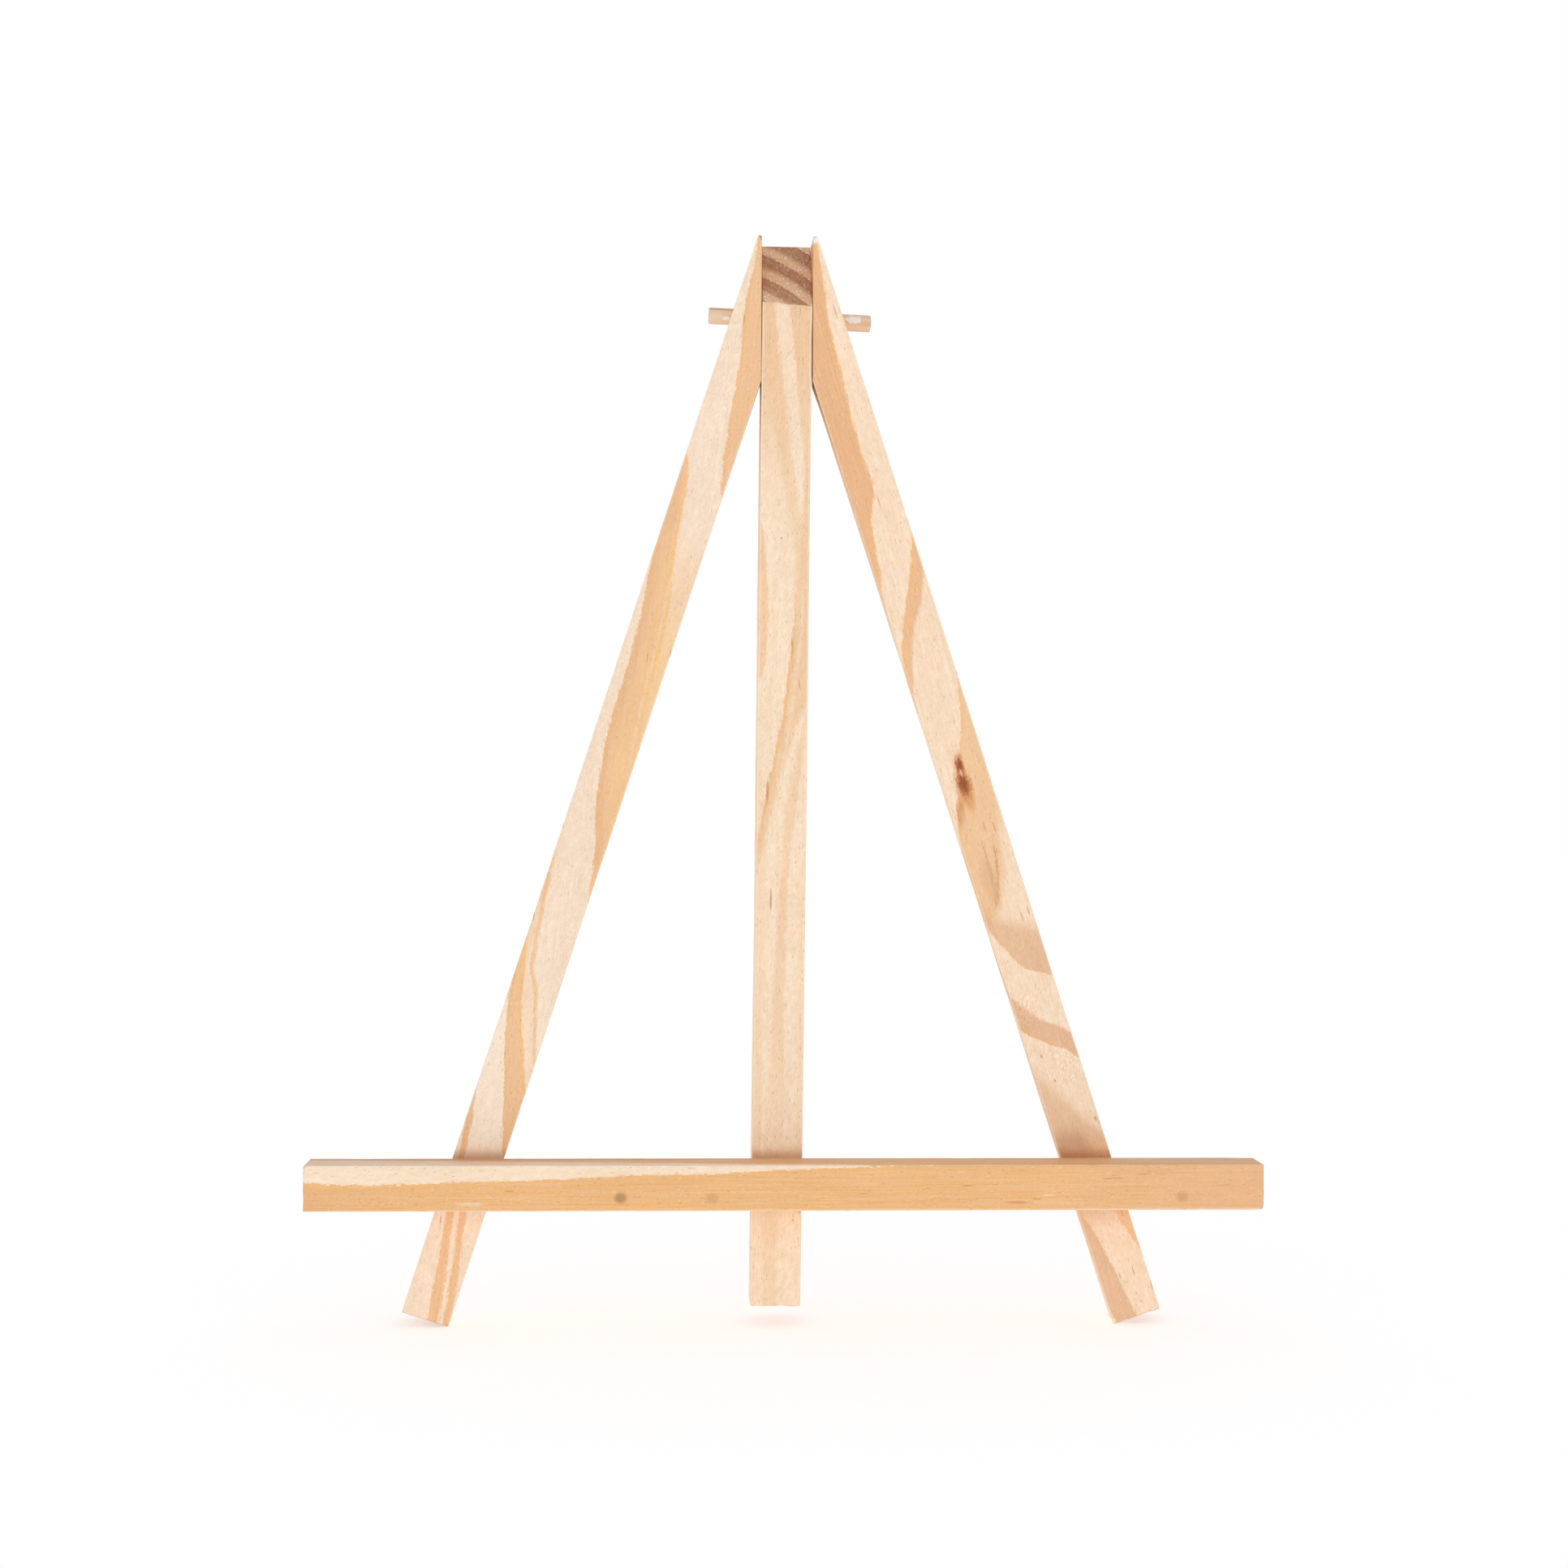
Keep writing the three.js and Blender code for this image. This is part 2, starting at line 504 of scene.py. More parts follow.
# painted shade for the ledge's top face: darker and pinker
TOP_SHADE_PINK = paint(226, 178, 156)
STEEL_BRIGHT = paint(196, 196, 194)
STEEL_DULL = paint(150, 146, 140)

WOOD_GLOSS = 0.3
WOOD_RELIEF = 0.05 * MM
SHARP_FADE = 0.36  # a band edge that fades over more than this has no bright rim
LINE_FADE = (0.37, 0.37)  # for thin lines, which have no rim either


class Band:
    """A band of another colour between two curves down a stick.

    Each curve is a list of (millimetres along, millimetres across). A band with one curve
    runs on past the stick's other side. Fade is how softly each side ends, and reach is
    where along the stick the band starts and stops, with how softly.
    """

    def __init__(self, tint, strength, left=None, right=None, fade=(0.2, 0.5), reach=None):
        self.tint = tint
        self.strength = strength
        self.left = left
        self.right = right
        self.fade = fade
        self.reach = reach


class Spot:
    """A soft stain, fleck or scratch: its middle and its reach across, back and along."""

    def __init__(self, tint, strength, middle, reach):
        self.tint = tint
        self.strength = strength
        self.middle = middle
        self.reach = reach


class Wood(Record):
    """One stick's timber: its bands and flaws, how its grain runs, and its end rings.

    A knot is (across, along, reach across, reach along, lean), and a torn place is the same
    without the lean. Slivers are spots on top of the knots. Lean is how the fibres slope,
    drift how the bands shift towards the back, and shelf the height of the ledge's top.
    """

    spots = knots = slivers = torn = ()
    lean = 0.0
    drift = 0.6
    pith = (-14, -40)
    ring = 4.5
    phase = 0.0
    shelf = None


def band_mask(graph, band, stick, across, along):
    """How much a band covers each place, and how much of that is its bright sharp rim."""
    mask = None
    rim = None
    sides = ((band.left, band.fade[0], 1), (band.right, band.fade[1], -1))
    for points, fade, sign in sides:
        if points is None:
            continue
        edge = graph.curve(along / stick.length, [(s / stick.length, u) for s, u in points])
        inside = (across - edge) * sign
        side = graph.smooth(inside, -fade, fade)
        mask = side if mask is None else mask * side
        if rim is None and fade < SHARP_FADE:
            rim = graph.smooth(inside, 0.25, 1.1, 1.0, 0.0)
    if band.reach is not None:
        first, last, ease = band.reach
        started = graph.smooth(along, first - ease, first + ease)
        window = started * graph.smooth(along, last - ease, last + ease, 1, 0)
        mask = window if mask is None else mask * window
    mask = mask * band.strength
    return mask, None if rim is None else mask * rim


def cell_dashes(graph, across, back, along, width, length, size):
    """Short dashes along the grain, one in each cell of that width and length."""
    cells = graph.node("ShaderNodeTexVoronoi", feature="F1", distance="EUCLIDEAN")
    cells.inputs["Scale"].default_value = 1.0
    cells.inputs["Randomness"].default_value = 1.0
    place = graph.vector(across / width, back / width, along / length)
    graph.feed(cells.inputs["Vector"], place)
    return graph.smooth(Term(graph, cells.outputs["Distance"]), size * 0.5, size, 1.0, 0.0)


class Grain:
    """The noises that one stick's wood is drawn with, in the stick's own millimetres."""

    def __init__(self, graph, stick, wood):
        self.graph = graph
        place = graph.coordinate("Object")
        self.across, self.back, self.along = (
            graph.dot(place, direction / MM) - stick.origin.dot(direction) / MM
            for direction in (stick.across, stick.back, stick.along)
        )
        self.shift = 13.7 * wood.seed
        self.fibre_across = self.across - self.along * wood.lean
        across, back, along = self.across, self.back, self.along
        self.slow = self.noise(across * 0.12, back * 0.12, along * 0.03, detail=1.0)
        self.torn = self.streaks(1.3, 0.22)
        self.ragged = self.streaks(3.2, 0.9, detail=2.0)
        self.streaky = self.streaks(1.7, 0.03, detail=4.0, roughness=0.65)
        self.fibres = self.streaks(5.0, 0.16, roughness=0.6)
        self.clouds = self.noise(across * 0.16, back * 0.16, along * 0.045)
        self.mottle = self.noise(
            across * 0.7 + along * 0.12, back * 0.7, along * 0.34 - across * 0.2,
            detail=3.0, roughness=0.6,
        )
        marks = self.noise(
            across * 2.2 + along * 1.3, back * 2.0, along * 0.8 - across * 0.5,
            detail=3.0, roughness=0.65,
        )
        self.marks = marks * (1.0 + 2.2 * self.torn_out(wood))

    def noise(self, x, y, z, **settings):
        return self.graph.noise(self.graph.vector(x + self.shift, y, z), **settings)

    def streaks(self, fine, length, detail=3.0, roughness=0.55):
        """Noise drawn out along the fibres."""
        return self.noise(
            self.fibre_across * fine, self.back * fine, self.along * length,
            detail=detail, roughness=roughness,
        )

    def torn_out(self, wood):
        """How much the plane has torn out the grain at each place."""
        torn = 0.0
        for at_u, at_s, reach_u, reach_s in wood.torn:
            distance = self.graph.length((self.across - at_u) / reach_u, (self.along - at_s) / reach_s)
            torn = self.graph.smooth(distance, 0.5, 1.1, 1.0, 0.0) + torn
        return torn


def banded(grain, stick, wood):
    """The colour of the timber with its bands, and how far each place is into a band.

    The bands waver slowly, and their edges are torn along the fibres.
    """
    graph = grain.graph
    across = grain.across + grain.back * wood.drift
    across = across + grain.slow * 0.4 + grain.torn * 0.8 + grain.ragged * 0.75
    along = grain.along + grain.back * 0.8
    paleness = graph.smooth(grain.streaky + grain.mottle * 0.5, -0.5, 0.6)
    colour = graph.mix(paleness, wood.ground, PALE)
    evenness = 0.84 + grain.streaky * 0.42 + grain.mottle * 0.22
    dark = 0.0
    for band in wood.bands:
        mask, rim = band_mask(graph, band, stick, across, along)
        colour = graph.mix(mask * evenness, colour, band.tint)
        if rim is not None:
            colour = graph.mix(rim * 0.5, colour, RIM)
        dark = mask + dark
    return colour, dark


def planed(grain, colour):
    """The colour with plane marks, fibres and broad cloudiness, yellower where darker."""
    graph = grain.graph
    fine = grain.fibres * 0.10 + grain.marks * 0.13
    shade = 1.0 + fine + grain.mottle * 0.09 + grain.clouds * 0.06
    yellowing = grain.clouds * 0.05 + grain.mottle * 0.05 + grain.marks * 0.07
    warmth = graph.vector(shade, shade + yellowing * 0.4, shade + yellowing)
    return graph.mix(1.0, colour, warmth, "MULTIPLY")


def highlit_arrises(grain, stick, colour):
    """The colour with a painted highlight along its eased arrises."""
    graph = grain.graph
    near_side = graph.math("MINIMUM", grain.across, stick.width - grain.across)
    near_face = graph.math("MINIMUM", grain.back, stick.depth - grain.back)
    inside = graph.math("MAXIMUM", near_side, near_face) + grain.torn * 0.12
    return graph.mix(graph.smooth(inside, 0.1, 0.42, 0.55, 0.0), colour, PALE)


def ticked(grain, wood, colour):
    """The colour with fine ticks, longer resin canals and short pale fluff.

    The ticks and the canals come back too, for the relief.
    """
    graph = grain.graph
    across, back, along, shift = grain.across, grain.back, grain.along, grain.shift
    tick_across = across - along * wood.lean * 2.2 + shift
    ticks = cell_dashes(graph, tick_across, back, along, 0.7, 3.6, 0.17)
    canals = cell_dashes(graph, grain.fibre_across + 2 * shift, back, along, 2.6, 24.0, 0.07)
    fluff = cell_dashes(graph, across + along * 0.35 + shift, back, along, 0.9, 2.6, 0.2)
    colour = graph.mix(ticks * 0.5, colour, RESIN)
    colour = graph.mix(canals * 0.65, colour, RESIN)
    return graph.mix(fluff * 0.3, colour, PALE), ticks, canals


def end_grain(grain, wood):
    """The colour of sawn ends, growth rings round a pith outside the stick, and its pores.

    Late wood is browner, no two rings are alike, and pale pits lie in the early wood.
    """
    graph = grain.graph
    across, back, along = grain.across, grain.back, grain.along
    pores = graph.noise(graph.vector(across * 1.6, back * 1.6, along * 0.9), detail=4.0, roughness=0.8)
    radius = graph.length(across - wood.pith[0], back - wood.pith[1])
    season = (radius + pores * 0.45 + grain.slow * 0.5) / wood.ring + wood.phase
    season = graph.math("FRACT", season)
    late = graph.smooth(season, 0.10, 0.42) * graph.smooth(season, 0.78, 0.87, 1.0, 0.0)
    years = graph.noise(graph.vector(radius * 1.6, 0.0, 0.0))
    brownness = late * (0.85 + 0.3 * grain.mottle + 0.5 * years)
    colour = graph.shaded(graph.mix(brownness, END_CREAM, END_BROWN), 1.0 + pores * 0.4)
    pits = cell_dashes(graph, across, back, along * 0.3, 0.85, 0.85, 0.36)
    return graph.mix(pits * (0.75 - 0.45 * late), colour, END_PALE), pores, pits


def shade_above_ledge(grain, colour, shelf):
    """The colour with painted shade in the corner just above the ledge."""
    graph = grain.graph
    above = graph.dot(graph.coordinate("Object"), UP / MM) - shelf
    # painted shade, strongest at the ledge's top and gone 3.2 mm above it
    ledge_shade = graph.smooth(above, 0.0, 3.2, 0.62, 0.0) * graph.smooth(above, -0.4, 0.1)
    return graph.mix(ledge_shade * graph.smooth(grain.back, 0.5, 2.5, 1.0, 0.0), colour, CORNER_SHADE)


def spotted(grain, colour, spot):
    """The colour with one spot, whose edge is ragged along the fibres."""
    graph = grain.graph
    places = (grain.across, grain.back, grain.along)
    parts = [(place - at) / reach for place, at, reach in zip(places, spot.middle, spot.reach)]
    distance = graph.length(*parts) + grain.ragged * 0.12
    return graph.mix(graph.smooth(distance, 0.35, 1.05, 1.0, 0.0) * spot.strength, colour, spot.tint)


def knotted(grain, colour, knot):
    """The colour with one lobe of a knot: a dark heart in a reddish rim, frayed by the grain."""
    graph = grain.graph
    at_u, at_s, reach_u, reach_s, lean = knot
    below = grain.along - at_s
    distance = graph.length((grain.across - at_u + below * lean) / reach_u, below / reach_s)
    distance = distance + grain.fibres * 0.5 + grain.marks * 0.6
    colour = graph.mix(graph.smooth(distance, 0.5, 1.35, 0.8, 0.0), colour, KNOT_RED)
    return graph.mix(graph.smooth(distance, 0.3, 0.92, 0.92, 0.0), colour, KNOT_DARK)


def pine(stick, wood, name):
    """Solid pine: one piece of timber, seen on the stick's faces and on its sawn ends."""
    graph = Graph(name)
    grain = Grain(graph, stick, wood)
    colour, dark = banded(grain, stick, wood)
    # the arrises get a painted highlight
    colour = highlit_arrises(grain, stick, planed(grain, colour))
    colour, ticks, canals = ticked(grain, wood, colour)
    facing = graph.math("ABSOLUTE", graph.dot(graph.coordinate("Normal"), stick.along))
    end = graph.smooth(facing, 0.40, 0.52)
    end_colour, pores, pits = end_grain(grain, wood)
    colour = graph.mix(end, colour, end_colour)
    for spot in wood.spots:
        colour = spotted(grain, colour, spot)
    # painted shade on the legs just above the ledge
    if wood.shelf is not None:
        colour = shade_above_ledge(grain, colour, wood.shelf)
    for knot in wood.knots:
        colour = knotted(grain, colour, knot)
    for sliver in wood.slivers:
        colour = spotted(grain, colour, sliver)
    relief = grain.fibres * 0.5 + grain.marks * 0.45 + dark * 0.35 - canals * 0.8 - ticks * 0.3
    relief = relief + end * pores * 1.6 - end * pits
    roughness = 0.60 + grain.fibres * 0.06 + end * 0.2
    graph.shader.inputs["Specular IOR Level"].default_value = WOOD_GLOSS
    return graph.finish(colour, roughness, graph.bump(relief, WOOD_RELIEF, 0.8))


# ---------------- the sticks


def shifted(points, step):
    """The same curve, a step further across."""
    return [(s, u + step) for s, u in points]


def apex_start(stick, side, tip_flat):
    """Where a front leg starts: at its apex cut, or at the blunt end of its tip."""
    slope = math.asin(abs(stick.along.x))

    def start(u, v):
        inset = u if side < 0 else stick.width - u
        cut_face = (inset * math.cos(slope) - tip_flat) / math.sin(slope)
        return max(-inset * math.tan(slope), cut_face)

    return start


def finish_stick(stick, shape, wood, cutters):
    """Makes a stick's mesh, cuts its holes and gives it its timber."""
    piece = to_object(stick_mesh(stick, shape), stick.node + "_pine")
    holes = bmesh.new()
    for centre, axis, radius, length in cutters:
        cylinder(holes, centre, axis, radius, length)
    cut(piece, holes)
    piece.data.materials.append(pine(stick, wood, stick.node + "_pine"))
    return piece


def make_front_leg(node, side, wood, draft, draft_reach, dents, cutters):
    stick = front_leg_stick(node, side)
    tip_flat = abs(corner(node, side * 0.01, 0, 1).x - corner(node, -side * 0.01, 0, 1).x) / MM
    start = apex_start(stick, side, tip_flat)
    shape = StickShape(
        seed=wood.seed, start=start, end=lambda u, v: stick.length,
        draft=draft, draft_reach=draft_reach, dents=dents,
    )
    return finish_stick(stick, shape, wood, cutters)


REAR_DROP = 0.5  # how much lower than the CAD's the front of the sloped top is
REAR_SKEW = 1.1  # how much lower its right side is than its left


def make_rear_leg(wood, cutters):
    node = "rear_leg"
    stick = rear_leg_stick(node)
    rise = (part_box(node)[1].z - corner(node, 0, -1, 0.001).z) / MM

    def start(u, v):
        drop = rise + REAR_DROP + REAR_SKEW * (u / stick.width - 0.5)
        return drop * (1 - v / stick.depth)

    shape = StickShape(
        seed=wood.seed, start=start, end=lambda u, v: stick.length,
        arris=0.12, swell=0.18, ragged=0.4,
    )
    return finish_stick(stick, shape, wood, cutters)


LEDGE_SPARE = 0.8  # how much longer than the CAD's the ledge is, at its right end


def make_ledge(wood, cutters):
    stick = ledge_stick("ledge")
    end = stick.length + LEDGE_SPARE
    dents = (
        (0, 0, 0, 1.6, 0.35),
        (0, 1, 241, 1.2, 0.2),
        (stick.width, 0, end, 1.4, 0.5),
        (0, 0, 198, 1.2, 0.25),
        (0, 0, 212, 1.0, 0.2),
        (0, 0, 43, 1.0, 0.15),
    )
    shape = StickShape(
        seed=wood.seed, start=lambda u, v: 0, end=lambda u, v: end,
        bow=0.08, slant=0.25, dents=dents,
    )
    return finish_stick(stick, shape, wood, cutters)


ledge_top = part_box("ledge")[1].z / MM  # its height above the floor


def flecks(*rows):
    """Flecks of resin at the front: strength, across, along, reach across, reach along."""
    return [Spot(RESIN, strength, (u, 0, s), (du, 2, ds)) for strength, u, s, du, ds in rows]


def left_leg_wood():
    wide_left = [
        (50, -8), (80, -1.0), (92, 0.8), (102, 2.1), (118, 3.0), (134, 3.5), (142, 4.6),
        (150, 6.0), (161, 9.2), (168, 10.9), (175, 12.0), (190, 16), (210, 22),
    ]
    wide_right = [
        (50, -2.0), (58, -0.3), (63, 1.8), (70, 3.2), (83, 5.3), (90, 6.4), (97, 8.0),
        (110, 9.6), (125, 11.2), (140, 13), (190, 26),
    ]
    light_streak = [(95, 6.6), (115, 8.4), (135, 10.4), (150, 12.4)]
    low_left = [
        (180, -4), (198, -0.6), (205, 0.6), (214, 2.7), (221, 4.5), (228, 6.6), (239, 10.1),
        (244, 11.9), (260, 18),
    ]
    low_right = [
        (180, -2), (192, 0.8), (198, 2.4), (207, 4.5), (213, 6.6), (218, 8.7), (227, 12.3), (245, 20),
    ]
    thread = [(188, 2.0), (196, 3.3), (201, 5.8), (206, 7.5), (212, 9.3), (218, 11.4), (230, 17)]
    foot_left = [(225, -3), (236, -0.3), (247, 1.3), (267, 3.4), (276, 5.2), (285, 6.2), (294, 7.5)]
    foot_right = [
        (220, -2), (228, -0.2), (233, 0.8), (247, 2.9), (263, 4.9), (273, 6.9), (283, 8.7),
        (294, 10.1),
    ]
    foot_thread = [(235, 1.0), (250, 4.4), (264, 6.6), (273, 8.3), (281, 9.7), (294, 11.6)]
    edge_wash = [(145, -2), (158, -0.3), (166, 0.7), (180, 1.4), (195, 2.2), (202, 1.2), (210, -1)]
    bands = (
        Band(ORANGE, 1.0, left=[(0, -0.8), (5, 1.1), (17, 2.2), (34, 6.0), (51, 8.5), (67, 12), (90, 18)]),
        Band(MILKY, 0.8, reach=(206, 262, 14)),
        Band(ORANGE, 1.0, left=wide_left, right=wide_right),
        Band(TAN, 0.5, left=wide_left, right=shifted(wide_left, 1.8), fade=(0.2, 1.4), reach=(66, 168, 6)),
        Band(
            TAN, 0.35, left=shifted(wide_left, 1.2), right=shifted(wide_left, 6), fade=(0.6, 1.6),
            reach=(58, 80, 8),
        ),
        Band(GOLD, 0.5, left=shifted(wide_left, 3.0), fade=(1.6, 1), reach=(84, 190, 10)),
        Band(GOLD, 0.8, left=shifted(light_streak, 1.0), fade=(0.5, 1), reach=(104, 190, 10)),
        Band(
            GOLD, 0.8, left=shifted(wide_right, -1.1), right=wide_right, fade=(0.6, 0.3),
            reach=(56, 118, 5),
        ),
        Band(
            CREAM, 0.75, left=light_streak, right=shifted(light_streak, 0.7), fade=(0.2, 0.3),
            reach=(92, 145, 8),
        ),
        Band(HONEY, 0.6, right=edge_wash, fade=(0.5, 0.6)),
        Band(ORANGE, 1.0, left=low_left, right=low_right, fade=(0.2, 0.35)),
        Band(GOLD, 0.8, left=shifted(low_right, -1.6), right=low_right, fade=(0.9, 0.35)),
        Band(GOLD, 0.35, left=low_right, right=thread, fade=(0.37, 0.5), reach=(196, 232, 6)),
        Band(ORANGE, 0.7, left=thread, right=shifted(thread, 1.0), fade=(0.3, 0.45)),
        Band(ORANGE, 1.0, left=foot_left, right=foot_right, fade=(0.25, 0.35)),
        Band(
            ORANGE, 0.95, left=foot_thread, right=shifted(foot_thread, 1.7), fade=(0.25, 0.35),
            reach=(252, 400, 4),
        ),
    )
    return Wood(
        seed=1, ground=LEFT_GROUND, bands=bands, lean=0.2, drift=0.55, pith=(-30, -25), ring=5.5,
        shelf=ledge_top,
    )


def rear_leg_wood():
    crossing_left = [(15, 2.4), (29, 4.2), (43, 6.1), (58, 8.2), (70, 10), (85, 12.5)]
    crossing_right = [(15, 6.4), (29, 8.1), (43, 9.4), (58, 10.8), (70, 12.2), (85, 14.5)]
    drifting = [(20, -0.5), (36, 2.0), (52, 4.0), (66, 6.4), (76, 8.0), (90, 9.5)]
    bend_left = [
        (70, 10), (84, 9.2), (94, 8.9), (104, 8.3), (112, 7.5), (125, 5.8), (134, 4.3), (143, 2.6),
        (150, 1.2), (165, -2),
    ]
    bend_right = [
        (90, 16), (116, 14), (122, 11.5), (128, 9.2), (134, 7.2), (142, 5.2), (150, 3.4), (160, 1.2),
        (172, -2),
    ]
    stripe_left = [
        (110, 16), (118, 13.5), (125, 11.6), (132, 9.9), (139, 8.5), (151, 7.0), (164, 5.9),
        (181, 5.0), (200, 4.3), (275, 4.3),
    ]
    stripe_right = [
        (110, 19), (118, 16), (125, 13.6), (132, 12), (139, 10.8), (151, 9.5), (164, 8.3), (181, 7.7),
        (234, 7.6), (275, 7.0),
    ]
    bands = (
        Band(TOP_HONEY, 0.95, reach=(-50, 52, 24)),
        Band(PALE, 0.8, left=crossing_left, right=crossing_right, fade=(0.6, 0.4)),
        Band(HONEY, 0.7, left=drifting, right=shifted(drifting, 2.6), fade=(0.9, 0.7), reach=(30, 84, 12)),
        Band(SOFT_HONEY, 0.85, left=[(60, 11), (80, 10.2), (95, 9.8)], fade=(0.8, 1), reach=(50, 100, 16)),
        Band(SOFT_HONEY, 0.95, left=bend_left, right=bend_right, fade=(0.3, 0.9), reach=(92, 300, 16)),
        Band(
            TAN, 0.32, left=bend_left, right=shifted(bend_left, 0.9), fade=(0.3, 0.6),
            reach=(96, 152, 10),
        ),
        Band(
            PALE, 0.5, left=shifted(bend_left, 1.9), right=shifted(bend_left, 2.5), fade=(0.4, 0.4),
            reach=(90, 140, 12),
        ),
        Band(ORANGE, 0.46, left=stripe_left, right=stripe_right, fade=(0.8, 0.4), reach=(90, 225, 30)),
        Band(
            ORANGE, 0.7,
            right=[(74, -0.5), (85, 1.7), (100, 2.3), (108, 1.9), (115, -0.3), (120, -2)],
            fade=(0.4, 0.4),
        ),
        Band(
            HONEY, 0.42, right=[(116, 0.6), (150, 1.6), (180, 2.3), (234, 1.9), (275, 2)],
            fade=(1, 0.9), reach=(122, 246, 15),
        ),
        Band(HONEY, 0.4, left=[(160, 11), (234, 10.8), (275, 11)], fade=(0.9, 1), reach=(160, 250, 20)),
        Band(
            HONEY, 0.5, left=[(240, 2.8), (275, 3)], right=[(240, 6.6), (275, 6.2)], fade=(0.5, 1.2),
            reach=(238, 300, 6),
        ),
    )
    spots = (
        *flecks(
            (0.65, 2.6, 143, 0.45, 4.0), (0.7, 3.8, 171, 0.4, 3.6), (0.45, 8.6, 106, 0.3, 3.5),
        ),
        Spot(GREY_STAIN_AND_SHADE, 0.7, (5.4, 0, 78), (0.35, 1, 0.4)),
        Spot(RESIN, 0.5, (10.5, 0, 253), (0.35, 1, 0.5)),
        Spot(RESIN, 0.5, (12.2, 0, 251), (0.35, 1, 0.6)),
    )
    return Wood(
        seed=2, ground=REAR_GROUND, bands=bands, spots=spots, lean=0.02, drift=0.35,
        pith=(-13.5, -40), ring=4.95, phase=0.28, shelf=ledge_top,
    )


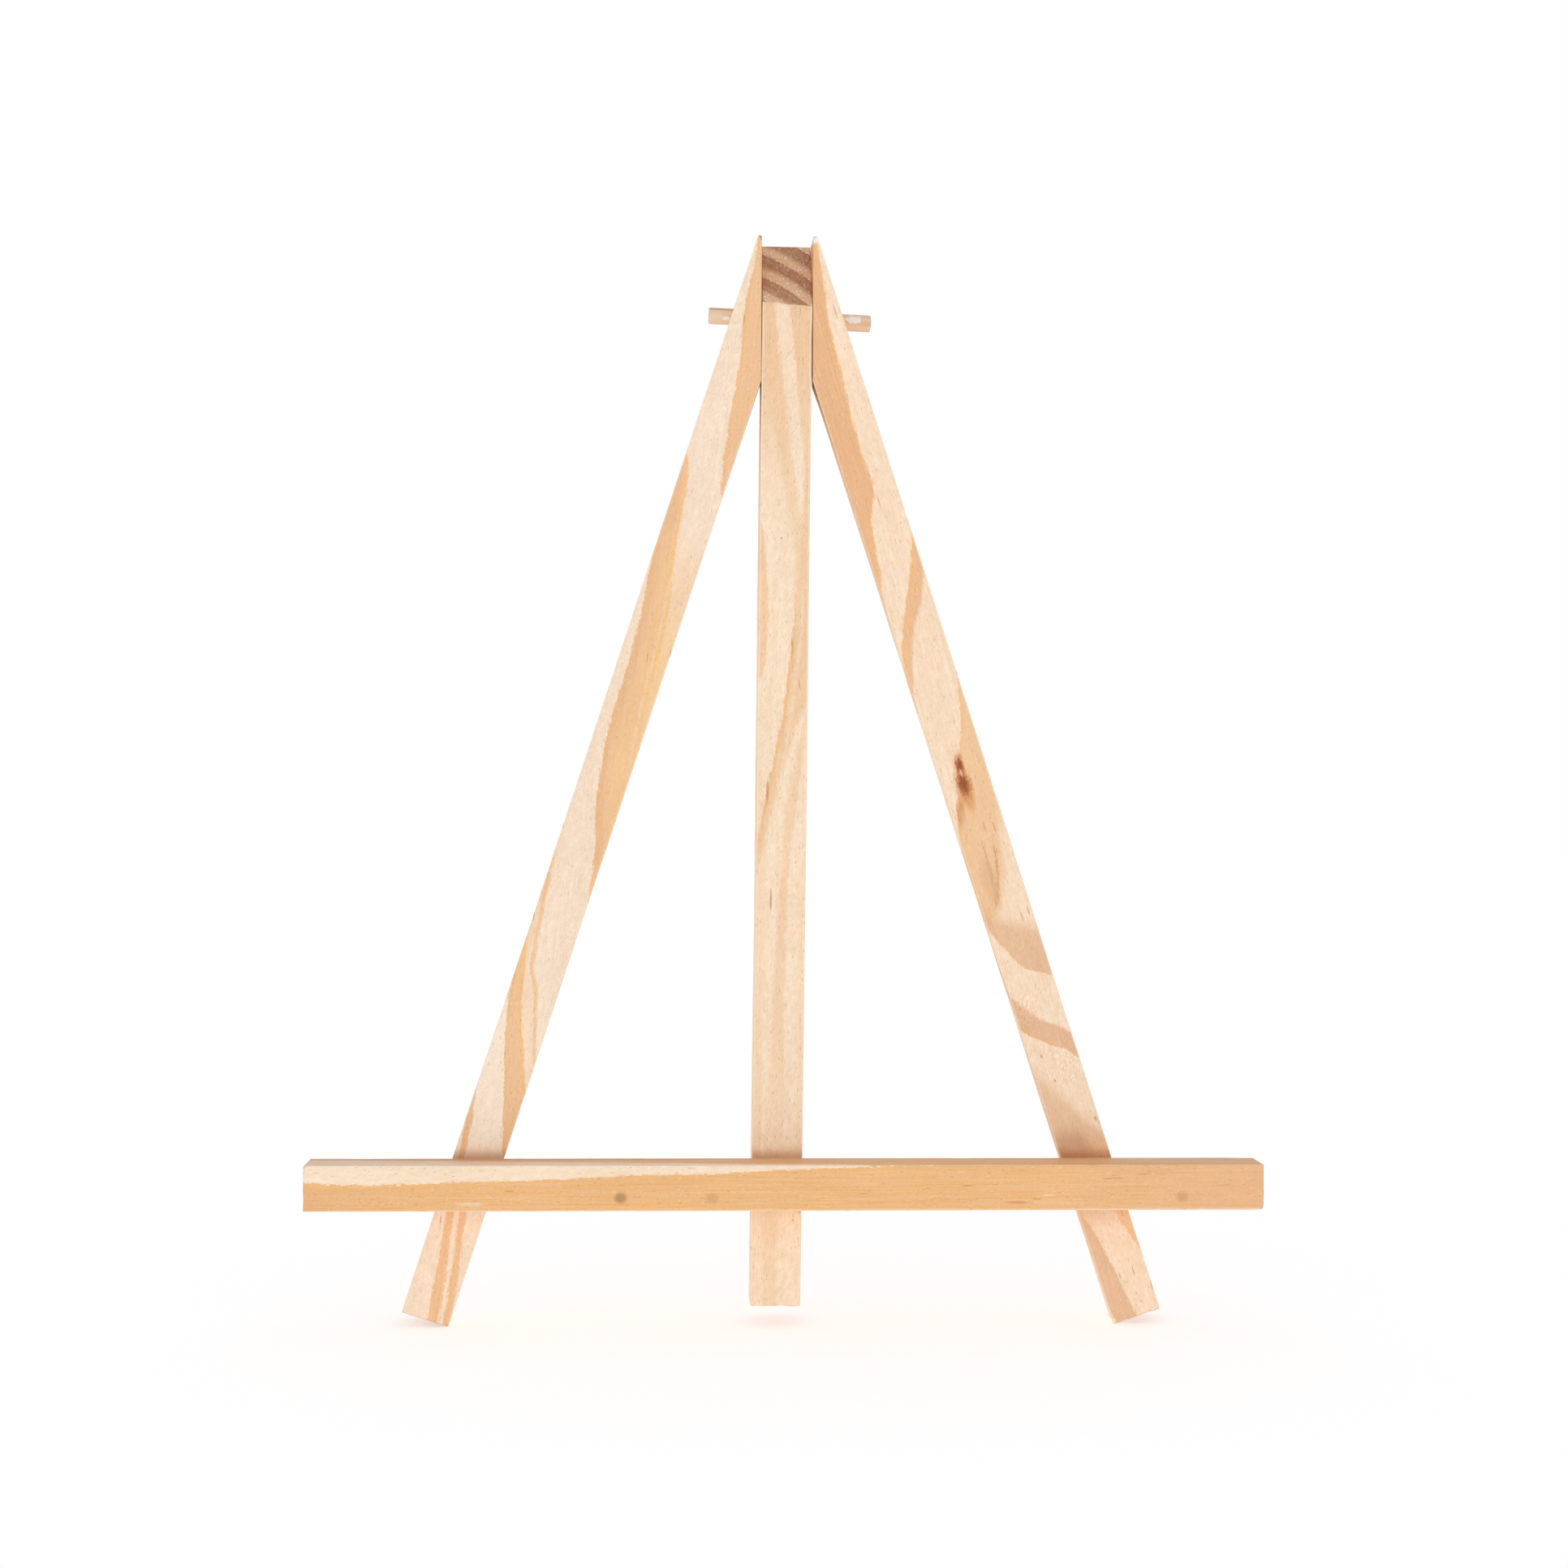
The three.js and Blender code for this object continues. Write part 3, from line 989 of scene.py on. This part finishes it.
def right_leg_wood():
    top_right = [
        (0, 12.8), (4, 11.4), (12, 10.4), (20, 8.8), (36, 7.6), (55, 6.4), (63, 6.7), (70, 5.1),
        (75, 3.3), (83, 1.9), (89, 1.2), (99, -0.6), (110, -3),
    ]
    flame_left = [(70, 16), (80, 12.3), (88, 9.6), (97, 5.6), (103, 2.9), (110, 0.4), (118, -2.5)]
    flame_right = [(80, 16), (90, 12.6), (97, 9.6), (103, 6.2), (108, 3.8), (117, 1.0), (125, -1.5)]
    big_left = [
        (105, 16), (118, 12.6), (125, 11), (132, 9.2), (137, 7.1), (147, 3.6), (152, 1.5),
        (158, 0.4), (165, -1.5),
    ]
    big_right = [
        (140, 17), (150, 13.6), (155, 12.2), (161, 10.3), (168, 9.2), (173, 7.5), (177, 5.7),
        (181, 2.9), (185, 0), (192, -4),
    ]
    wash_low = [
        (170, -8), (184, 0), (187, 1.5), (192, 3.6), (196, 6.0), (198, 9.3), (200, 12.3), (206, 18),
    ]
    wash_high = [(172, -8), (181, 0.5), (183, 3.4), (185, 7), (187, 10.5), (189, 14), (194, 22)]
    second_low = [(198, -9), (211, 0.3), (214, 3.1), (217, 6.6), (219, 9.5), (222, 11.9), (230, 20)]
    second_high = [(192, -7), (202, 0.3), (206, 3.1), (210, 6.0), (212, 8.8), (215, 12), (224, 22)]
    dark_arc = [(150, 8.6), (162, 7.9), (168, 7.1), (174, 5.6), (178, 3.9), (182, 1.2)]
    inner_arc = [(155, 5.4), (162, 5.2), (168, 5.0), (173, 4.7), (178, 3.9)]
    bands = (
        Band(DEEP_ORANGE, 1.0, right=top_right, fade=(0.2, 0.35)),
        Band(CREAM, 0.7, right=[(30, -0.5), (130, -0.6)], fade=(0.2, 0.4), reach=(36, 110, 6)),
        Band(FLAME, 1.0, left=flame_left, right=flame_right, fade=(0.15, 0.7)),
        Band(LIGHT_ORANGE, 0.92, left=big_left, right=big_right, fade=(0.2, 1.5)),
        Band(
            RED_SMEAR, 0.75,
            left=[(146, 4.8), (150, 2.6), (154, 1.1), (158, 0.4)],
            right=[(146, 6.0), (150, 4.6), (154, 3.0), (158, 1.9)],
            fade=(0.5, 0.9), reach=(149, 156, 2.2),
        ),
        Band(TAN, 0.4, left=wash_low, right=shifted(wash_high, 4.5), fade=(0.37, 3.6)),
        Band(TAN, 0.66, left=wash_low, right=wash_high, fade=(0.3, 3.0)),
        Band(TAN, 0.94, left=second_low, right=second_high, fade=(0.3, 0.9)),
        Band(
            TAN, 0.65, right=[(216, -2), (228, 3.5), (237, 8.5), (244, 13), (250, 16)], fade=(1, 1.8),
            reach=(222, 262, 6),
        ),
        Band(
            TAN, 0.82,
            left=[(250, -8), (280, -1.6), (286, -0.4), (294, 2.2)],
            right=[(245, -3), (256, -0.4), (262, 0.8), (267, 2.4), (277, 4.2), (285, 5.6), (294, 6.8)],
            fade=(0.3, 0.2),
        ),
        Band(ORANGE, 0.8, left=[(250, 6.5), (263, 9.1), (271, 11.4), (285, 15)], reach=(245, 290, 6)),
        Band(RESIN, 1.0, left=dark_arc, right=shifted(dark_arc, 0.4), fade=LINE_FADE, reach=(163, 178, 3)),
        Band(
            RESIN, 0.8, left=inner_arc, right=shifted(inner_arc, 0.35), fade=LINE_FADE,
            reach=(161, 177, 3),
        ),
    )
    spots = (
        Spot(KNOT_GLOW, 0.55, (5.4, 0, 146), (2.3, 3, 11)),
        Spot(KNOT_HALO, 0.55, (5.6, 0, 150), (1.9, 3, 4.0)),
        Spot(TAN, 0.5, (4.4, 0, 172), (2.6, 3, 10)),
        # painted shade on the right leg just above the ledge
        Spot(RIGHT_LEDGE_SHADE, 0.45, (3, 0, 245), (7, 3, 8)),
        Spot(WHITE_TIP, 1.0, (11.7, 2, 0.4), (1.4, 6, 2.0)),
        *flecks(
            (0.5, 11.0, 20, 0.3, 3), (0.6, 9.6, 159, 0.25, 2.2), (0.6, 7.2, 158, 0.25, 1.6),
            (0.6, 9.4, 183, 0.25, 2.0), (0.6, 11.4, 182, 0.25, 1.8), (0.6, 11.6, 238.5, 0.5, 0.8),
            (0.6, 3.2, 219, 0.4, 0.7), (0.6, 4.6, 226, 0.4, 0.6), (0.5, 6.8, 70, 0.25, 2.4),
            (0.5, 5.2, 279, 0.3, 1.2),
        ),
    )
    knots = ((5.9, 141.2, 1.3, 3.5, 0.1), (5.4, 146.0, 2.1, 3.9, 0.0))
    slivers = (Spot(HONEY, 0.8, (5.7, 0, 143.0), (0.36, 2, 1.3)),)
    torn = ((8, 223, 6, 7), (3, 207, 5, 6))
    return Wood(
        seed=3, ground=RIGHT_GROUND, bands=bands, spots=spots, knots=knots, slivers=slivers,
        torn=torn, lean=-0.03, drift=-0.5, pith=(40, -25), ring=5.0, shelf=ledge_top,
    )


def ledge_wood():
    rising = [
        (0, 4.3), (12, 5.0), (25, 4.9), (37, 4.3), (61, 3.6), (74, 3.0), (86, 2.6), (98, 2.4),
        (110, 1.9), (120, 1.3), (133, 0.9), (145, 0.6), (157, 0.1), (175, -1), (241, -6),
    ]
    bands = (
        Band(AMBER, 1.0, left=rising, fade=(0.12, 1)),
        Band(PINK_ORANGE, 0.55, reach=(205, 300, 40)),
        Band(TAN, 0.4, left=shifted(rising, 1.0), reach=(-50, 12, 14)),
    )
    spots = (
        Spot(GREY_STAIN_AND_SHADE, 0.7, (8.2, 0, 79), (1.9, 3, 2.1)),
        Spot(GREY_STAIN_AND_SHADE, 0.3, (8.4, 0, 102), (2.0, 3, 2.2)),
        Spot(GREY_STAIN_AND_SHADE, 0.34, (8.3, 0, 221), (1.9, 3, 2.0)),
        *flecks(
            (0.5, 3.6, 203, 0.2, 3.4), (0.45, 2.6, 211, 0.2, 2.6), (0.4, 5.4, 232, 0.22, 2.2),
        ),
        Spot(RED_STREAK, 0.75, (9.6, 0, 179), (0.45, 2, 4.2)),
        Spot(PALE, 0.7, (7.8, 0, 187), (0.25, 2, 2.2)),
        Spot(PALE, 0.45, (9.7, 0, 41.5), (0.7, 2, 4.5)),
        # painted shade: the whole top face a darker pink
        Spot(TOP_SHADE_PINK, 0.8, (-0.6, 6.5, 110), (0.9, 14, 330)),
        # a thin darker line along the top face's front edge
        Spot(GREY_STAIN_AND_SHADE, 0.55, (0, 1.7, 200), (0.6, 0.5, 85)),
        # painted shade at the back of the top face, against the legs
        Spot(GREY_STAIN_AND_SHADE, 0.3, (0, 10.5, 60), (0.6, 2.4, 70)),
    )
    return Wood(
        seed=4, ground=LEDGE_GROUND, bands=bands, spots=spots, lean=0.0, drift=0.55, pith=(-20, 30),
        ring=3.8,
    )


# ---------------- dowel and brads


def dowel_ends():
    """The middles of the CAD dowel's left and right end faces."""
    points = [v.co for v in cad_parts["pivot_dowel"].data.vertices]
    ends = []
    for side in (-1, 1):
        half = [p for p in points if p.x * side > 0]
        ends.append(sum(half, Vector()) / len(half))
    return ends


DOWEL_SIDES = 48
DOWEL_STEPS = 60
DOWEL_END = (  # the rings of an end: how far in, and how wide as a share of the radius
    (0.0, 0.25), (0.0, 0.6), (0.0, 0.86), (0.12 * MM, 0.96), (0.4 * MM, 1.0),
)
DOWEL_ROUGHNESS = 0.35 * MM  # of the cut ends
DOWEL_FLATS = 0.012  # how far its facets lie in, as a share of the radius


def dowel_mesh(left, axis, up, length, radius):
    """Rings along a dowel, with hand-cut ends that are eased and a little uneven."""
    profile = list(DOWEL_END)
    profile += [(length * step / DOWEL_STEPS, 1.0) for step in range(1, DOWEL_STEPS)]
    profile += [(length - reach, width) for reach, width in reversed(DOWEL_END)]
    bm = bmesh.new()
    rings = []
    for reach, width in profile:
        at_end = reach < MM or length - reach < MM
        outward = -1 if reach < length / 2 else 1
        ring = []
        for index in range(DOWEL_SIDES):
            angle = 2 * math.pi * index / DOWEL_SIDES
            spoke = up * math.cos(angle) + BACK * math.sin(angle)
            spot = spoke * width * 2
            rough = abs(waver(9, spot.x, spot.y + outward, spot.z)) * DOWEL_ROUGHNESS
            inset = -outward * rough if at_end else 0
            facet = 1 - DOWEL_FLATS * max(0.0, waver(8, angle * 1.5, reach * 60, 0))
            middle = left + axis * (reach + inset)
            ring.append(bm.verts.new(middle + spoke * radius * width * facet))
        rings.append(ring)
    skin(bm, rings)
    return bm


def dowel_pine(left, right, axis, up, radius):
    """Pine turned small, with a line of resin and smears of filler at the legs."""
    graph = Graph("pivot_dowel_pine")
    place = graph.coordinate("Object")
    along = graph.dot(place, axis / MM)
    across = graph.dot(place, up / MM)
    back = graph.dot(place, BACK / MM)
    streak = graph.noise(
        graph.vector(across * 1.1, back * 1.1, along * 0.05), detail=4.0, roughness=0.6,
    )
    fibres = graph.noise(
        graph.vector(across * 5.0, back * 5.0, along * 0.25), detail=3.0, roughness=0.6,
    )
    pores = graph.noise(graph.vector(across * 3.0, back * 3.0, along), detail=4.0, roughness=0.7)
    facing = graph.math("ABSOLUTE", graph.dot(graph.coordinate("Normal"), axis))
    end = graph.smooth(facing, 0.6, 0.8)
    colour = graph.mix(graph.smooth(streak, -0.15, 0.5), DOWEL_GROUND, TAN)
    end_colour = graph.mix(graph.smooth(pores, -0.4, 0.4), END_CREAM, END_BROWN)
    colour = graph.mix(end * 0.6, colour, end_colour)
    colour = graph.shaded(colour, 1.0 + fibres * 0.07)
    relief = fibres + end * pores

    left_place = left.dot(axis) / MM
    right_place = right.dot(axis) / MM
    height = across - left.dot(up) / MM
    line = graph.math("ABSOLUTE", height - radius / MM * 0.66)
    line = graph.smooth(line + relief * 0.1, 0.1, 0.26, 0.6, 0.0)
    line = line * graph.smooth(along, left_place + 9, left_place + 12, 1.0, 0.0)
    colour = graph.mix(line, colour, RESIN)

    ragged = graph.noise(graph.vector(across * 1.1, back * 1.1, along * 0.9), detail=3.0)
    depth = (back - (left.y - radius) / MM) / 2.0
    for at_s, at_height, reach in ((right_place - 4.6, 0.7, 2.5), (left_place + 4.4, -0.8, 1.1)):
        distance = graph.length((along - at_s) / reach, (height - at_height) / (reach * 0.55), depth)
        smear = graph.smooth(distance + ragged * 0.8, 0.6, 1.0, 0.85, 0.0)
        colour = graph.mix(smear, colour, FILLER)
    graph.shader.inputs["Specular IOR Level"].default_value = WOOD_GLOSS
    return graph.finish(colour, 0.62 + relief * 0.05, graph.bump(relief, 0.06 * MM, 0.8))


def make_dowel(left, right, radius):
    axis = (right - left).normalized()
    up = axis.cross(BACK).normalized()
    bm = dowel_mesh(left, axis, up, (right - left).length, radius)
    piece = to_object(bm, "pivot_dowel_pine")
    piece.data.materials.append(dowel_pine(left, right, axis, up, radius))
    return piece


def steel(name):
    """Bright drawn steel, a little dulled, with fine scratches."""
    graph = Graph(name)
    place = graph.coordinate("Object")
    x, y, z = (graph.dot(place, Vector(axis) / MM) for axis in ((1, 0, 0), BACK, UP))
    dull = graph.noise(graph.vector(x * 1.2, y * 1.2, z * 1.2), detail=4.0, roughness=0.7)
    scratch = graph.noise(graph.vector(x * 9.0, y * 2.0, z * 1.5))
    colour = graph.mix(graph.smooth(dull, -0.4, 0.5), STEEL_BRIGHT, STEEL_DULL)
    graph.shader.inputs["Metallic"].default_value = 0.9
    relief = graph.bump(scratch * 0.5 + dull, 0.02 * MM, 0.5)
    return graph.finish(colour, 0.36 + dull * 0.1, relief)


GRIP_RINGS = 6
BRAD_SIDES = 32
BRAD_SINK = 0.08 * MM  # how far the head is driven below the leg's back
BRAD_ROOM = 0.08 * MM  # round a brad in its hole


class Brad:
    """A CAD brad's middle line and sizes, which its holes and its detailed mesh follow."""

    def __init__(self, node):
        low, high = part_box(node)
        self.node = node
        self.head = Vector(((low.x + high.x) / 2, high.y, (low.z + high.z) / 2))
        self.length = high.y - low.y
        self.head_radius = (high.x - low.x) / 2
        shank = [v.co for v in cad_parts[node].data.vertices if v.co.y < high.y - 2 * MM]
        self.shank_radius = max(abs(p.x - self.head.x) for p in shank)
        self.point = self.shank_radius * 3.2  # the length of the point
        self.neck = 0.7 * MM  # how deep the head is


def brad_outline(brad):
    """Radius and place down a brad: a domed head, grip rings and a diamond point."""
    head, shank = brad.head_radius, brad.shank_radius
    outline = [
        (0.0, 0.06 * MM), (head * 0.5, 0.03 * MM), (head * 0.82, 0.0), (head * 0.96, -0.06 * MM),
        (head, -0.2 * MM), (head * 0.97, -0.5 * MM), (head * 0.8, -brad.neck),
        (shank, -brad.neck - 0.05 * MM),
    ]
    for ring in range(GRIP_RINGS):
        place = -brad.neck - (0.6 + 0.5 * ring) * MM
        outline += [(shank, place), (shank * 0.9, place - 0.12 * MM), (shank, place - 0.24 * MM)]
    tip = -brad.length
    outline += [
        (shank, tip + brad.point), (shank * 0.55, tip + brad.point * 0.45),
        (shank * 0.08, tip + 0.05 * MM), (0.0, tip),
    ]
    return outline


def make_brad(brad, material):
    """A brad turned round its middle line."""
    bm = bmesh.new()
    rings = []
    for radius, place in brad_outline(brad):
        middle = brad.head + BACK * (place - BRAD_SINK)
        if radius == 0.0:
            rings.append([bm.verts.new(middle)])
            continue
        ring = []
        for index in range(BRAD_SIDES):
            angle = 2 * math.pi * index / BRAD_SIDES
            spoke = Vector((math.cos(angle), 0, math.sin(angle)))
            ring.append(bm.verts.new(middle + spoke * radius))
        rings.append(ring)
    skin(bm, rings)
    piece = to_object(bm, brad.node + "_steel", smooth_angle=35)
    piece.data.materials.append(material)
    return piece


def head_hole(brad):
    return (brad.head, FORWARD, brad.head_radius + BRAD_ROOM, 2 * (brad.neck + BRAD_ROOM))


def shank_hole(brad):
    middle = brad.head + FORWARD * brad.length / 2
    return (middle, FORWARD, brad.shank_radius + BRAD_ROOM, brad.length + MM)


# ---------------- the whole easel

DOWEL_SLIDE = 0.9 * MM  # the dowel is pushed in from the left
LEG_HOLE_ROOM = 0.1 * MM
LEG_HOLE_LENGTH = 0.06
SWING_HOLE_ROOM = 0.34 * MM
SWING_HOLE_LENGTH = 0.03

brads = [Brad(f"ledge_brad_{number}") for number in range(1, 5)]
dowel_left, dowel_right = dowel_ends()
dowel_axis = (dowel_right - dowel_left).normalized()
dowel_left += dowel_axis * DOWEL_SLIDE
dowel_right += dowel_axis * DOWEL_SLIDE
dowel_middle = (dowel_left + dowel_right) / 2
dowel_low, dowel_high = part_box("pivot_dowel")
dowel_radius = (dowel_high.y - dowel_low.y) / 2
leg_hole = (dowel_middle, dowel_axis, dowel_radius + LEG_HOLE_ROOM, LEG_HOLE_LENGTH)
swing_hole = (
    dowel_middle, Vector((1, 0, 0)), dowel_radius + SWING_HOLE_ROOM, SWING_HOLE_LENGTH,
)


def leg_cutters(side):
    """The dowel's hole and the brads' holes in the front leg of one side."""
    cutters = [leg_hole]
    for brad in brads:
        if brad.head.x * side > 0:
            cutters += [head_hole(brad), shank_hole(brad)]
    return cutters


def place_piece(piece, node, body):
    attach(piece, body)
    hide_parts(node)


left_dents = ((0, 6, 60, 1.6, 0.12), (0, 0, 150, 2.5, 0.1), (12.5, 0, 230, 2.0, 0.15))
right_dents = (
    (12.5, 0, 75, 1.8, 0.12), (12.5, 0, 150, 1.5, 0.15), (0, 0, 200, 2.0, 0.12),
    (0, 0, 294, 2.2, 0.7),
)
place_piece(
    make_front_leg("front_left_leg", -1, left_leg_wood(), 1.1, (0, 294), left_dents, leg_cutters(-1)),
    "front_left_leg", "front_frame",
)
place_piece(
    make_front_leg("front_right_leg", 1, right_leg_wood(), -0.75, (18, 42), right_dents, leg_cutters(1)),
    "front_right_leg", "front_frame",
)
ledge_cutters = [shank_hole(brad) for brad in brads]
place_piece(make_ledge(ledge_wood(), ledge_cutters), "ledge", "front_frame")
place_piece(make_rear_leg(rear_leg_wood(), [swing_hole]), "rear_leg", "rear_leg")
place_piece(make_dowel(dowel_left, dowel_right, dowel_radius), "pivot_dowel", "front_frame")
brad_steel = steel("brad_steel")
for brad in brads:
    place_piece(make_brad(brad, brad_steel), brad.node, "front_frame")


# ---------------- camera, floor and light

CAMERA_PLACE = Vector((-0.0291, -0.638, 0.1337))
CAMERA_YAW = -2.58
CAMERA_PITCH = 0.46
CAMERA_ROLL = -0.24
CAMERA_LENS = 57.1


def make_camera():
    data = bpy.data.cameras.new("camera")
    data.lens = CAMERA_LENS
    data.sensor_width = 36
    camera = bpy.data.objects.new("camera", data)
    bpy.context.scene.collection.objects.link(camera)
    turn = Matrix.Rotation(math.radians(CAMERA_YAW), 4, "Z")
    turn = turn @ Matrix.Rotation(math.radians(CAMERA_PITCH), 4, "X")
    turn = turn @ Matrix.Rotation(math.radians(CAMERA_ROLL), 4, "Y")
    turn = turn @ Matrix.Rotation(math.radians(90), 4, "X")
    camera.matrix_world = Matrix.Translation(CAMERA_PLACE) @ turn
    bpy.context.scene.camera = camera


def make_floor():
    """A wide matt white floor that glows a little, lighting the easel from below, and more so far from it,
    which leaves a painted pool of shade round the easel.
    """
    bm = bmesh.new()
    bmesh.ops.create_circle(bm, cap_ends=True, segments=96, radius=6.0)
    floor = to_object(bm, "floor")
    graph = Graph("floor_white")
    graph.shader.inputs["Base Color"].default_value = (0.80, 0.805, 0.82, 1)
    graph.shader.inputs["Roughness"].default_value = 0.9
    graph.shader.inputs["Specular IOR Level"].default_value = 0.1
    graph.shader.inputs["Emission Color"].default_value = (1, 1, 1, 1)
    place = graph.coordinate("Object")
    distance = graph.length(graph.dot(place, (1, 0, 0)), graph.dot(place, BACK))
    glow = graph.smooth(distance, 0.3, 2.0, 0.42, 0.60)
    graph.feed(graph.shader.inputs["Emission Strength"], glow)
    floor.data.materials.append(graph.material)


def make_light(name, place, target, size, energy):
    data = bpy.data.lights.new(name, "AREA")
    data.shape = "RECTANGLE"
    data.size, data.size_y = size
    data.energy = energy
    light = bpy.data.objects.new(name, data)
    bpy.context.scene.collection.objects.link(light)
    light.location = place
    light.rotation_mode = "QUATERNION"
    light.rotation_quaternion = (Vector(target) - Vector(place)).to_track_quat("-Z", "Y")


WALL_LIGHT = 1.0
CEILING_LIGHT = 0.62
WALL_TOP = 0.30  # heights of directions, where straight up is 1
CEILING_EDGE = 0.65


def make_world():
    """White walls all round, under a dimmer ceiling."""
    world = bpy.data.worlds.new("studio")
    bpy.context.scene.world = world
    world.use_nodes = True
    tree = world.node_tree
    backdrop = tree.nodes["Background"]
    direction = tree.nodes.new("ShaderNodeTexCoord")
    height = tree.nodes.new("ShaderNodeSeparateXYZ")
    fade = tree.nodes.new("ShaderNodeMapRange")
    fade.interpolation_type = "SMOOTHSTEP"
    tree.links.new(direction.outputs["Generated"], height.inputs[0])
    tree.links.new(height.outputs["Z"], fade.inputs[0])
    for socket, value in zip(list(fade.inputs)[1:5], (WALL_TOP, CEILING_EDGE, WALL_LIGHT, CEILING_LIGHT)):
        socket.default_value = value
    tree.links.new(fade.outputs[0], backdrop.inputs["Strength"])
    backdrop.inputs["Color"].default_value = (1, 1, 1, 1)
    bpy.context.scene.view_settings.view_transform = "Standard"


make_camera()
make_floor()
make_world()
make_light("front", (-0.25, -1.5, 0.3), (0, 0, 0.13), (1.5, 0.7), 1.45)
